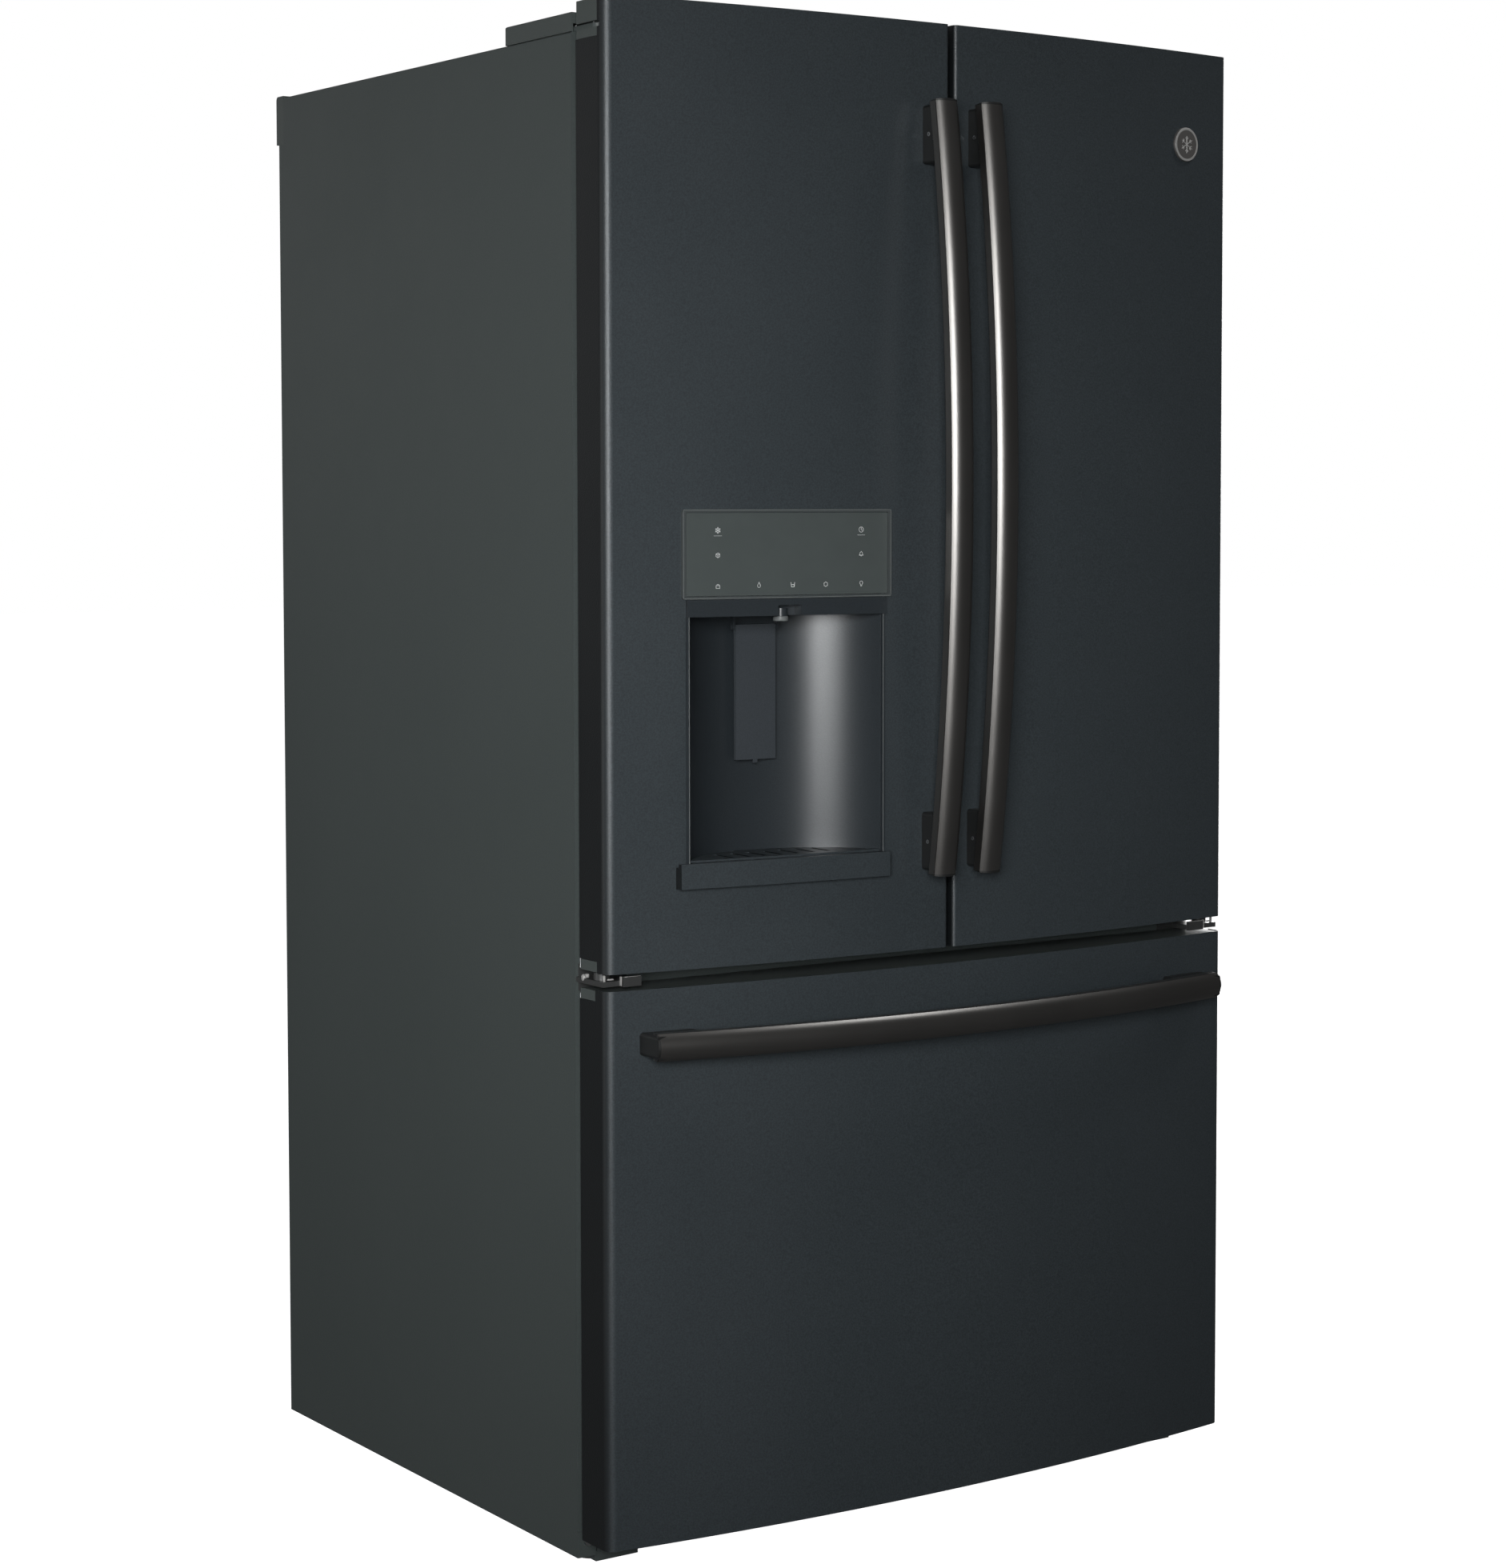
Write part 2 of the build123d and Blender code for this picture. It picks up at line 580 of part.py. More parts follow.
badge_x = 377.0
badge_z = 1661.5
badge_tilt = math.degrees(math.asin(badge_x / front_radius))
with BuildPart() as badge:
    badge_plane = Plane(origin=(badge_x, front_y(badge_x, 0.05), badge_z), x_dir=(0, 0, 1),
                        z_dir=(math.sin(math.radians(badge_tilt)), -math.cos(math.radians(badge_tilt)), 0))
    with BuildSketch(badge_plane):
        Circle(21)
    extrude(amount=3)
    fillet(badge.edges().sort_by(Axis.Y)[0], 1.2)
save(badge, "badge")

# ---------------------------------------------------------------- dispenser
housing_wall = 3.0


def recess_shape(zs, grow, mode=Mode.ADD):
    """The hollow's plan shape, grown by a wall, in the part being built."""
    low = recess_low - grow
    high = recess_high + grow
    with BuildSketch(Plane.XY.offset(zs[0]), mode=Mode.PRIVATE) as outline:
        with BuildLine():
            hollow_arc = ThreePointArc((low, front_y(low, -2)), (recess_middle, at(recess_back) + grow),
                                       (high, front_y(high, -2)))
            ThreePointArc(hollow_arc @ 1, (recess_middle, front_y(recess_middle, -2)), hollow_arc @ 0)
        make_face()
    extrude(outline.sketch, amount=zs[1] - zs[0], mode=mode)


notch = (-241.0, -211.0)
paddle_x = -228.0
paddle_half = 27.5
paddle_front = -28.0
paddle_top = 1080.0
paddle_pivot_z = 1078.0
paddle_pin = 1.5
paddle_y = at(paddle_front + 2)
with BuildPart() as dispenser_housing:
    recess_shape((recess_floor - housing_wall, recess_top + housing_wall), housing_wall)
    recess_shape((recess_floor, recess_top), 0, Mode.SUBTRACT)
    curved_band((recess_low, recess_high), (recess_floor, recess_top), 5, 8, Mode.SUBTRACT)
    recess_shape((recess_floor - housing_wall, recess_floor), housing_wall)
    recess_shape((recess_top, recess_top + housing_wall), housing_wall)
    for trim in ((recess_low - 3.7, recess_low), (recess_high, recess_high + 3.7)):
        curved_band(trim, (recess_floor - housing_wall, recess_top + housing_wall), 1.2, 8)
    curved_band((recess_low - 3.7, recess_high + 3.7), (recess_top, 1111.2), 4, 22)
    curved_band(notch, (recess_top - 1, 1104), 6, 16, Mode.SUBTRACT)
    post(recess_middle - 2, front_y(recess_middle) + 13, (1086, 1100), 8)
    for side in sides:
        ear_x = paddle_x + side * (paddle_half + 2.5)
        block((ear_x - 1.5, ear_x + 1.5), (paddle_y - 3, paddle_y + 3), (paddle_pivot_z - 4, recess_top + 1))
    with Locations(Location((paddle_x, paddle_y, paddle_pivot_z), (0, 90, 0))):
        Cylinder(paddle_pin + running_gap, 2 * paddle_half + 12, mode=Mode.SUBTRACT)
save(dispenser_housing, "dispenser_housing")

bezel_x = (-361.8, -87.5)
bezel_z = (1111.5, 1212.7)
glass_x = (-357.0, -93.0)
glass_z = (1115.0, 1209.0)
with BuildPart() as panel_bezel:
    curved_band(bezel_x, bezel_z, 3, 2.95)
    fillet(panel_bezel.edges().filter_by(Axis.Y, tolerance=8), 4)
    curved_band(glass_x, glass_z, 4, 5, Mode.SUBTRACT)
save(panel_bezel, "panel_bezel")

with BuildPart() as panel_glass:
    curved_band((glass_x[0] + 0.4, glass_x[1] - 0.4), (glass_z[0] + 0.4, glass_z[1] - 0.4), 2.6, 2.5)
save(panel_glass, "panel_glass")

with BuildPart() as dispenser_tray:
    curved_band((-369, -94), (787.7, recess_floor - housing_wall - 0.2), 12, 11.9)
    curved_band((-369, -94), (787.7, recess_floor + 1), 12, 6)
    fillet(dispenser_tray.edges().filter_by(Axis.Z).group_by(Axis.Y)[0], 2)
    curved_band((recess_low + 1, recess_high - 1), (recess_floor + 0.2, recess_floor + 1), 11, 16)
    recess_shape((recess_floor + 0.2, recess_floor + 3), -2)
    for slot in range(7):
        slot_x = recess_middle - 66 + 22 * slot
        block((slot_x - 3, slot_x + 3), (at(-78), at(-38)), (recess_floor - 1, recess_floor + 4),
              Mode.SUBTRACT)
save(dispenser_tray, "dispenser_tray")

with BuildPart() as dispenser_paddle:
    block((paddle_x - paddle_half, paddle_x + paddle_half), (at(paddle_front), at(paddle_front + 4)),
          (924, paddle_top))
    fillet(dispenser_paddle.edges().filter_by(Axis.Y), 1)
    block((paddle_x - 3, paddle_x + 3), (at(paddle_front + 1), at(paddle_front + 3)), (920, 925))
    with Locations(Location((paddle_x, paddle_y, paddle_pivot_z), (0, 90, 0))):
        Cylinder(paddle_pin, 2 * paddle_half + 8)
save(dispenser_paddle, "dispenser_paddle")

box_x = (-358.0, -72.0)
box_z = (1250.0, 1640.0)
box_y = 118.0
with BuildPart() as ice_box:
    block(box_x, (at(-7), at(box_y)), box_z)
    block((box_x[0] + 4, box_x[1] - 4), (at(-3), at(box_y + 1)), (box_z[0] + 4, box_z[1] - 4), Mode.SUBTRACT)
save(ice_box, "ice_box")

with BuildPart() as ice_box_door:
    block((box_x[0] + 5, box_x[1]), (at(box_y + 0.5), at(box_y + 8)), (box_z[0] + 1, box_z[1] - 1))
    post(box_x[0] + 5, at(box_y + 4.25), (box_z[0] + 1, box_z[1] - 1), 3.75)
save(ice_box_door, "ice_box_door")

with BuildPart() as mullion_flap:
    block((-33, -17), (at(10), at(62)), (757, 1675))
    post(-25, at(10), (757, 1675), 8)
    for hole in ((750, 763), (1669, 1680)):
        post(-25, at(10), hole, 2 + running_gap, Mode.SUBTRACT)
save(mullion_flap, "mullion_flap")

# ---------------------------------------------------------------- freezer drawer
drawer_x = (-half_width, half_width)
drawer_corners = (outer_corner, outer_corner)
with BuildPart() as drawer_skin:
    shell(drawer_x, (drawer_bottom, drawer_top), drawer_corners)
    for side in sides:
        block(reach(side, 430, half_width + 1), (at(-44), at(0)), (drawer_top - 13, drawer_top + 1),
              Mode.SUBTRACT)
save(drawer_skin, "drawer_skin")

with BuildPart() as drawer_caps:
    filler(drawer_x, (drawer_top - 16, drawer_top - 1), drawer_corners)
    filler(drawer_x, (drawer_bottom + 1, drawer_bottom + 14), drawer_corners)
    for side in sides:
        block(reach(side, 448, half_width), (at(-43.7), at(-door_back - 2)),
              (drawer_top - 12.7, drawer_top - 1))
save(drawer_caps, "drawer_caps")

with BuildPart() as drawer_liner:
    inner_panel((-452, 452), (drawer_bottom + 2, drawer_top - 8), (-394, 394), (80, 632), 30)
save(drawer_liner, "drawer_liner")

with BuildPart() as drawer_gasket:
    gasket((-438, 438), (52, 664), 14)
save(drawer_gasket, "drawer_gasket")

runner_z = 250.0
with BuildPart() as drawer_bin:
    tub((-368, 368), (at(31), at(470)), (86, 420), 3)
    for side in sides:
        block(reach(side, 367, 386), (at(31), at(470)), (runner_z, runner_z + 8))
save(drawer_bin, "drawer_bin")

with BuildPart() as drawer_slides:
    for side in sides:
        block(reach(side, 388, room), (at(34), at(490)), (runner_z - 10, runner_z + 20))
        block(reach(side, 380, 397), (at(30), at(495)), (runner_z - 2, runner_z + 12), Mode.SUBTRACT)
save(drawer_slides, "drawer_slides")

with BuildPart() as freezer_tray:
    tub((-364, 364), (at(252), at(466)), (424, 500), 3)
    for side in sides:
        block(reach(side, 361, 372), (at(252), at(466)), (421, 425))
save(freezer_tray, "freezer_tray")

drawer_handle_front = at(-front_crown - drawer_handle_reach)
drawer_handle_plane = Plane(origin=(0, drawer_handle_front, drawer_handle_z), x_dir=(0, 0, 1),
                            z_dir=(-1, 0, 0))
with BuildPart() as whole_drawer_bar:
    bowed_bar(drawer_handle_plane, (0, 0, 1), drawer_handle_half, drawer_handle_bow)
sleeve_half = drawer_handle_half - cap_length
sleeve_zone = ((-sleeve_half, sleeve_half), (at(-300), at(0)), (500, 700))

with BuildPart() as drawer_handle:
    add(whole_drawer_bar.part)
    block(*sleeve_zone, Mode.INTERSECT)
save(drawer_handle, "drawer_handle")

with BuildPart() as drawer_end_caps:
    add(whole_drawer_bar.part)
    block(*sleeve_zone, Mode.SUBTRACT)

with BuildPart() as drawer_handle_mounts:
    for side in sides:
        block(reach(side, drawer_handle_half - mount_length, drawer_handle_half),
              (drawer_handle_front + 50, at(-65)), (drawer_handle_z - 13, drawer_handle_z + 13))
    fillet(drawer_handle_mounts.edges().filter_by(Axis.Y), 4)
    post(0, arc_centre, (550, 680), front_radius, Mode.SUBTRACT)
    add(whole_drawer_bar.part, mode=Mode.SUBTRACT)
    add(drawer_end_caps.part)
save(drawer_handle_mounts, "drawer_handle_mounts")
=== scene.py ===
"""Looks of the french door refrigerator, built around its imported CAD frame. Metres, +Z up, doors face -Y."""
import json
import math

import bmesh
import bpy
from mathutils import Matrix, Vector


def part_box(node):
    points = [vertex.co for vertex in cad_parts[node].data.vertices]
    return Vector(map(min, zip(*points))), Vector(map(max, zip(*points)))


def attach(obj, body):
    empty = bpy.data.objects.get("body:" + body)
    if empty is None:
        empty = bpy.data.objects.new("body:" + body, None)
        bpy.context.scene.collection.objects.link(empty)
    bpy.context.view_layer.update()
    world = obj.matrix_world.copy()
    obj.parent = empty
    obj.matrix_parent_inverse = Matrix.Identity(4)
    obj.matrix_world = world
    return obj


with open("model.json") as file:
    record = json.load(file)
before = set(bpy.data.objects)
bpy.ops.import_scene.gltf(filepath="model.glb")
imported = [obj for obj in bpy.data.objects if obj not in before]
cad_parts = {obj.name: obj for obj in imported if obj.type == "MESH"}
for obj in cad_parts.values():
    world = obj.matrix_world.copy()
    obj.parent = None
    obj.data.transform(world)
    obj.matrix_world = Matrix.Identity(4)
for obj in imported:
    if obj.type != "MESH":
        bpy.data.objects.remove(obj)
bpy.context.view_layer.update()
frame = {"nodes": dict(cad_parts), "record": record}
NODES = frame["nodes"]

# ---------------------------------------------------------------- driving dimensions
MM = 0.001
FRONT_RADIUS = 3246 * MM
DOOR_INNER_EDGE = 3.75 * MM
CROWN_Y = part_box("left_door_skin")[0].y
ARC_CENTRE_Y = CROWN_Y + math.sqrt(FRONT_RADIUS**2 - DOOR_INNER_EDGE**2)
CASE_LOW, CASE_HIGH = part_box("case_wrapper")
CASE_FRONT = CASE_LOW.y
HALF_WIDTH = CASE_HIGH.x
SIDES = (("left", -1), ("right", 1))


def front_y(x, proud=0.0):
    """Y of the doors' curved front at x, on a surface that stands proud of it."""
    return ARC_CENTRE_Y - math.sqrt((FRONT_RADIUS + proud) ** 2 - x * x)


# ---------------------------------------------------------------- materials
class Graph:
    """A node material with its shader and object coordinates ready to use."""

    def __init__(self, name, colour, roughness, metallic=0.0):
        self.material = bpy.data.materials.new(name)
        self.material.use_nodes = True
        self.tree = self.material.node_tree
        self.shader = self.tree.nodes["Principled BSDF"]
        self.shader.inputs["Base Color"].default_value = (*colour, 1)
        self.shader.inputs["Roughness"].default_value = roughness
        self.shader.inputs["Metallic"].default_value = metallic
        self.place = self.add("ShaderNodeTexCoord").outputs["Object"]

    def add(self, kind, **values):
        node = self.tree.nodes.new(kind)
        for key, value in values.items():
            setattr(node, key, value)
        return node

    def link(self, source, target):
        self.tree.links.new(source, target)

    def noise(self, scale, detail=3.0, stretch=None):
        place = self.place
        if stretch:
            mapping = self.add("ShaderNodeMapping")
            mapping.inputs["Scale"].default_value = stretch
            self.link(place, mapping.inputs["Vector"])
            place = mapping.outputs["Vector"]
        node = self.add("ShaderNodeTexNoise")
        node.inputs["Scale"].default_value = scale
        node.inputs["Detail"].default_value = detail
        node.inputs["Roughness"].default_value = 0.55
        self.link(place, node.inputs["Vector"])
        return node.outputs["Fac"]

    def spread(self, source, low, high):
        """Turns a noise value into a number between two limits."""
        node = self.add("ShaderNodeMapRange")
        node.inputs["From Min"].default_value = 0.3
        node.inputs["From Max"].default_value = 0.7
        node.inputs["To Min"].default_value = low
        node.inputs["To Max"].default_value = high
        self.link(source, node.inputs["Value"])
        return node.outputs["Result"]

    def tint(self, source, dark, light):
        """Colours the surface between two colours."""
        ramp = self.add("ShaderNodeValToRGB")
        ramp.color_ramp.elements[0].position = 0.32
        ramp.color_ramp.elements[0].color = (*dark, 1)
        ramp.color_ramp.elements[1].position = 0.68
        ramp.color_ramp.elements[1].color = (*light, 1)
        self.link(source, ramp.inputs["Fac"])
        self.link(ramp.outputs["Color"], self.shader.inputs["Base Color"])

    def bump(self, source, distance, strength=1.0):
        node = self.add("ShaderNodeBump")
        node.inputs["Strength"].default_value = strength
        node.inputs["Distance"].default_value = distance
        self.link(source, node.inputs["Height"])
        self.link(node.outputs["Normal"], self.shader.inputs["Normal"])


def paint_side_shade(material, factor):
    """Paints shade onto the faces that look sideways, such as the edges of the doors: the more a face looks
    along X, the darker its colour.
    """
    tree = material.node_tree
    shader = tree.nodes["Principled BSDF"]
    source = shader.inputs["Base Color"].links[0].from_socket
    place = tree.nodes.new("ShaderNodeTexCoord")
    parts = tree.nodes.new("ShaderNodeSeparateXYZ")
    size = tree.nodes.new("ShaderNodeMath")
    size.operation = "ABSOLUTE"
    shade = tree.nodes.new("ShaderNodeMapRange")
    shade.inputs["From Min"].default_value = 0.45
    shade.inputs["To Min"].default_value = 1.0
    shade.inputs["To Max"].default_value = factor
    scale = tree.nodes.new("ShaderNodeVectorMath")
    scale.operation = "SCALE"
    tree.links.new(place.outputs["Normal"], parts.inputs["Vector"])
    tree.links.new(parts.outputs["X"], size.inputs[0])
    tree.links.new(size.outputs[0], shade.inputs["Value"])
    tree.links.new(source, scale.inputs[0])
    tree.links.new(shade.outputs["Result"], scale.inputs["Scale"])
    tree.links.new(scale.outputs["Vector"], shader.inputs["Base Color"])
    return material


def scaled(colour, factor):
    return tuple(channel * factor for channel in colour)


def painted(name, colour, roughness, grain_scale, grain_depth, metallic=0.0, contrast=0.12, coat=0.0,
            drift_depth=0.04):
    """Textured paint or moulded plastic: fine grain in colour and bump, and gloss that drifts slowly across
    the surface.
    """
    graph = Graph(name, colour, roughness, metallic)
    grain = graph.noise(grain_scale, 2.0)
    drift = graph.noise(5.0, 4.0)
    graph.tint(grain, scaled(colour, 1 - contrast), scaled(colour, 1 + contrast))
    graph.link(graph.spread(drift, roughness - drift_depth, roughness + drift_depth),
               graph.shader.inputs["Roughness"])
    graph.bump(grain, grain_depth, 0.6)
    if coat:
        graph.shader.inputs["Coat Weight"].default_value = coat
        graph.shader.inputs["Coat Roughness"].default_value = 0.25
    return graph.material


def brushed(name, colour, roughness, stretch, metallic=1.0, depth=0.00004, unevenness=0.05):
    """Metal with drawn lines along one direction and a faint cloudiness."""
    graph = Graph(name, colour, roughness, metallic)
    lines = graph.noise(900.0, 2.0, stretch)
    cloud = graph.noise(9.0, 3.0)
    graph.tint(cloud, scaled(colour, 0.94), scaled(colour, 1.06))
    uneven = graph.spread(lines, roughness - unevenness, roughness + unevenness)
    graph.link(uneven, graph.shader.inputs["Roughness"])
    graph.bump(lines, depth, 0.3)
    return graph.material


def clear(name, colour, roughness, alpha):
    """Clear moulded plastic or glass, with faint unevenness."""
    graph = Graph(name, colour, roughness)
    graph.shader.inputs["Alpha"].default_value = alpha
    graph.shader.inputs["IOR"].default_value = 1.5
    haze = graph.noise(40.0, 3.0)
    graph.tint(haze, scaled(colour, 0.95), colour)
    graph.link(graph.spread(haze, roughness * 0.7, roughness * 1.3), graph.shader.inputs["Roughness"])
    graph.bump(haze, 0.0001, 0.15)
    return graph.material


SLATE_WITH_SIDE_SHADE = painted("slate_paint_with_side_shade", (0.031, 0.039, 0.044), 0.44, 520, 0.0003, 0.2, 0.2)
LOOKS = {
    # The slate doors get painted side shade: their sideways faces and corner fillets are darkened.
    "slate_front": paint_side_shade(SLATE_WITH_SIDE_SHADE, 0.2),
    "slate_paddle": painted("slate_plastic", (0.031, 0.037, 0.043), 0.5, 620, 0.00014, 0.0, 0.12),
    "case_paint": painted("case_paint", (0.044, 0.054, 0.053), 0.52, 480, 0.00018, 0.0, 0.08),
    "grey_plastic": painted("grey_plastic", (0.05, 0.06, 0.058), 0.5, 900, 0.00008, 0.0, 0.08),
    "black_plastic": painted("black_plastic", (0.008, 0.0085, 0.0085), 0.42, 900, 0.00006, 0.0, 0.15),
    "handle_metal": brushed("dark_anodised", (0.115, 0.112, 0.108), 0.33, (1, 1, 0.01), 0.9, 0.000002, 0.01),
    "bezel": painted("bezel_plastic", (0.04, 0.047, 0.048), 0.37, 900, 0.00005, 0.0, 0.08),
    "panel_glass": painted("panel_glass", (0.055, 0.065, 0.064), 0.16, 30, 0.00002, 0.0, 0.03, 0.5),
    "white_liner": painted("white_liner", (0.78, 0.8, 0.81), 0.37, 300, 0.00005, 0.0, 0.02, 0.2),
    "clear_plastic": clear("clear_plastic", (0.85, 0.9, 0.93), 0.09, 0.32),
    "freezer_plastic": painted("freezer_plastic", (0.72, 0.75, 0.77), 0.4, 300, 0.00006, 0.0, 0.03),
    "gasket": painted("gasket_rubber", (0.018, 0.02, 0.02), 0.62, 500, 0.0001, 0.0, 0.15),
    "galvanised": brushed("galvanised", (0.3, 0.31, 0.31), 0.45, (1, 1, 1), 0.7),
    "zinc": brushed("zinc", (0.42, 0.43, 0.44), 0.3, (1, 0.2, 1)),
    "aluminium_coil": brushed("aluminium_coil", (0.75, 0.76, 0.77), 0.3, (0.1, 1, 1)),
    "black_steel": painted("black_steel", (0.012, 0.012, 0.013), 0.37, 200, 0.00008, 0.3, 0.15),
    "foam": painted("foam", (0.62, 0.5, 0.28), 0.85, 260, 0.0006, 0.0, 0.2),
    "shelf_glass": clear("shelf_glass", (0.78, 0.92, 0.88), 0.05, 0.3),
    "roller_plastic": painted("roller_plastic", (0.03, 0.03, 0.03), 0.45, 500, 0.00008, 0.0, 0.15),
    "badge_metal": brushed("badge_metal", (0.14, 0.135, 0.13), 0.45, (1, 1, 1), 0.6),
}
DRAWER_HANDLE = brushed("dark_anodised_level", (0.115, 0.112, 0.108), 0.33, (0.01, 1, 1), 0.9, 0.000002, 0.01)
# The recess is slate paint darkened as painted shade, so the dispenser recess reads darker than the doors.
RECESS = painted("recess_painted_shade", (0.021, 0.026, 0.03), 0.31, 620, 0.0001, 0.1, 0.12, 0.0, 0.0)
# Dark steel for the mid hinges, darkened partly as painted shade for the gap above the drawer.
DARK_STEEL_GAP_SHADE = brushed("dark_steel_gap_shade", (0.07, 0.072, 0.072), 0.42, (1, 0.2, 1), 0.6)
BRIGHT_STEEL = brushed("bright_steel", (0.42, 0.42, 0.41), 0.42, (1, 1, 1), 0.45)
# Light grey for the nozzle ring and the recess trim lines, and painted highlight for the bezel's edge lines.
TRIM_AND_HIGHLIGHT = painted("light_trim_and_edge_highlight", (0.12, 0.13, 0.13), 0.4, 900, 0.00001, 0.0, 0.04)
LIGHT_PANEL = painted("light_panel", (0.9, 0.92, 0.95), 0.4, 300, 0.00001, 0.0, 0.02)
PRINT = painted("printed_marks", (0.55, 0.57, 0.57), 0.5, 900, 0.00001, 0.0, 0.04)

for subpart in frame["record"]["subparts"]:
    cad_node = NODES[subpart["node"]]
    cad_node.data.materials.clear()
    cad_node.data.materials.append(LOOKS[subpart["material_slot"]])
NODES["drawer_handle"].data.materials[0] = DRAWER_HANDLE
NODES["dispenser_housing"].data.materials[0] = RECESS
NODES["mid_hinges"].data.materials[0] = DARK_STEEL_GAP_SHADE


# ---------------------------------------------------------------- mesh tools
def piece(name, mesh_data, body, slot, material=None, smooth=True):
    """Turns a bmesh into a piece that rides on a CAD body."""
    mesh = bpy.data.meshes.new(name)
    bmesh.ops.recalc_face_normals(mesh_data, faces=mesh_data.faces)
    mesh_data.to_mesh(mesh)
    mesh_data.free()
    mesh.materials.append(material or LOOKS[slot])
    if smooth:
        mesh.polygons.foreach_set("use_smooth", [True] * len(mesh.polygons))
    made = bpy.data.objects.new(name, mesh)
    bpy.context.scene.collection.objects.link(made)
    if smooth:
        sharp = made.modifiers.new("corners", "EDGE_SPLIT")
        sharp.split_angle = math.radians(35)
    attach(made, body)
    return made


def lathe(target, profile, place, steps=32):
    """Adds a closed turned solid: (radius, height) points about the local Z of a placement."""
    rings = []
    for radius, height in profile:
        if radius < 1e-7:
            rings.append([target.verts.new(place @ Vector((0, 0, height)))])
            continue
        turns = [2 * math.pi * i / steps for i in range(steps)]
        rings.append([target.verts.new(place @ Vector((radius * math.cos(t), radius * math.sin(t), height)))
                      for t in turns])
    for low, high in zip(rings, rings[1:]):
        for i in range(steps):
            j = (i + 1) % steps
            corners = [low[i % len(low)], low[j % len(low)], high[j % len(high)], high[i % len(high)]]
            unique = list(dict.fromkeys(corners))
            if len(unique) > 2:
                target.faces.new(unique)


def rounded_block(target, low, high, radius, steps=3):
    """Adds a box with rounded edges between two corners."""
    part = bmesh.new()
    bmesh.ops.create_cube(part, size=1.0)
    size = Vector(high) - Vector(low)
    middle = (Vector(high) + Vector(low)) / 2
    place = Matrix.Translation(middle) @ Matrix.Diagonal((*size, 1))
    bmesh.ops.transform(part, matrix=place, verts=part.verts)
    bmesh.ops.bevel(part, geom=part.edges[:], offset=min(radius, min(size) * 0.45), segments=steps,
                    profile=0.5, affect="EDGES")
    scratch = bpy.data.meshes.new("scratch")
    part.to_mesh(scratch)
    part.free()
    target.from_mesh(scratch)
    bpy.data.meshes.remove(scratch)


def facing(origin, direction):
    """A placement at a point whose local Z runs along a direction."""
    turn = Vector(direction).to_track_quat("Z", "Y").to_matrix().to_4x4()
    return Matrix.Translation(Vector(origin)) @ turn


def tube(target, points, radius, steps=12):
    """Adds a round bar or pipe along a list of points, closed at both ends."""
    points = [Vector(p) for p in points]
    rings = []
    for i, point in enumerate(points):
        along = (points[min(i + 1, len(points) - 1)] - points[max(i - 1, 0)]).normalized()
        helper = Vector((0, 0, 1)) if abs(along.z) < 0.9 else Vector((1, 0, 0))
        across = along.cross(helper).normalized()
        up = across.cross(along)
        rings.append([target.verts.new(point + radius * (math.cos(t) * across + math.sin(t) * up))
                      for t in (2 * math.pi * k / steps for k in range(steps))])
    for low, high in zip(rings, rings[1:]):
        for i in range(steps):
            j = (i + 1) % steps
            target.faces.new((low[i], low[j], high[j], high[i]))
    target.faces.new(rings[0][::-1])
    target.faces.new(rings[-1])


def band(target, xs, zs, proud, thickness, steps=1):
    """Adds a closed strip that follows the doors' curve, its outer face standing proud of it."""
    rings = []
    for i in range(steps + 1):
        x = xs[0] + (xs[1] - xs[0]) * i / steps
        outer = front_y(x, proud)
        inner = front_y(x, proud - thickness)
        rings.append([target.verts.new(corner) for corner in
                      ((x, outer, zs[0]), (x, inner, zs[0]), (x, inner, zs[1]), (x, outer, zs[1]))])
    for low, high in zip(rings, rings[1:]):
        for i in range(4):
            j = (i + 1) % 4
            target.faces.new((low[i], low[j], high[j], high[i]))
    target.faces.new(rings[0][::-1])
    target.faces.new(rings[-1])


# ---------------------------------------------------------------- marks on the control panel
GLASS_PROUD = 2.6 * MM + 0.00002
MARK_THICKNESS = 0.12 * MM
STROKE = 0.55 * MM


def on_glass(x, z, lift=0.0):
    return Vector((x, front_y(x, GLASS_PROUD + lift), z))


def stroke(target, centre, line, closed=False, width=STROKE):
    """Adds a thin raised line on the panel, through points given about a centre in millimetres."""
    points = [(centre[0] + dx * MM, centre[1] + dz * MM) for dx, dz in line]
    if closed:
        points.append(points[0])
    for (ax, az), (bx, bz) in zip(points, points[1:]):
        along = Vector((bx - ax, bz - az)).normalized()
        side = Vector((-along.y, along.x)) * width / 2
        end = along * width / 2
        corners = [(ax - end.x + side.x, az - end.y + side.y), (bx + end.x + side.x, bz + end.y + side.y),
                   (bx + end.x - side.x, bz + end.y - side.y), (ax - end.x - side.x, az - end.y - side.y)]
        low = [target.verts.new(on_glass(x, z)) for x, z in corners]
        high = [target.verts.new(on_glass(x, z, MARK_THICKNESS)) for x, z in corners]
        target.faces.new(high)
        target.faces.new(low[::-1])
        for i in range(4):
            j = (i + 1) % 4
            target.faces.new((low[i], low[j], high[j], high[i]))


def circle(radius, count=16, middle=(0, 0), start=0.0, end=360.0):
    turns = [math.radians(start + (end - start) * i / count) for i in range(count + (end - start < 360))]
    return [(middle[0] + radius * math.cos(t), middle[1] + radius * math.sin(t)) for t in turns]


def crystal(size):
    """Six arms with side twigs, as separate strokes."""
    strokes = []
    for arm in range(6):
        t = math.radians(60 * arm + 90)
        tip = (size * math.cos(t), size * math.sin(t))
        strokes.append([(0, 0), tip])
        for turn in (-0.9, 0.9):
            root = (tip[0] * 0.6, tip[1] * 0.6)
            strokes.append([root, (root[0] + size * 0.3 * math.cos(t + turn),
                                   root[1] + size * 0.3 * math.sin(t + turn))])
    return strokes


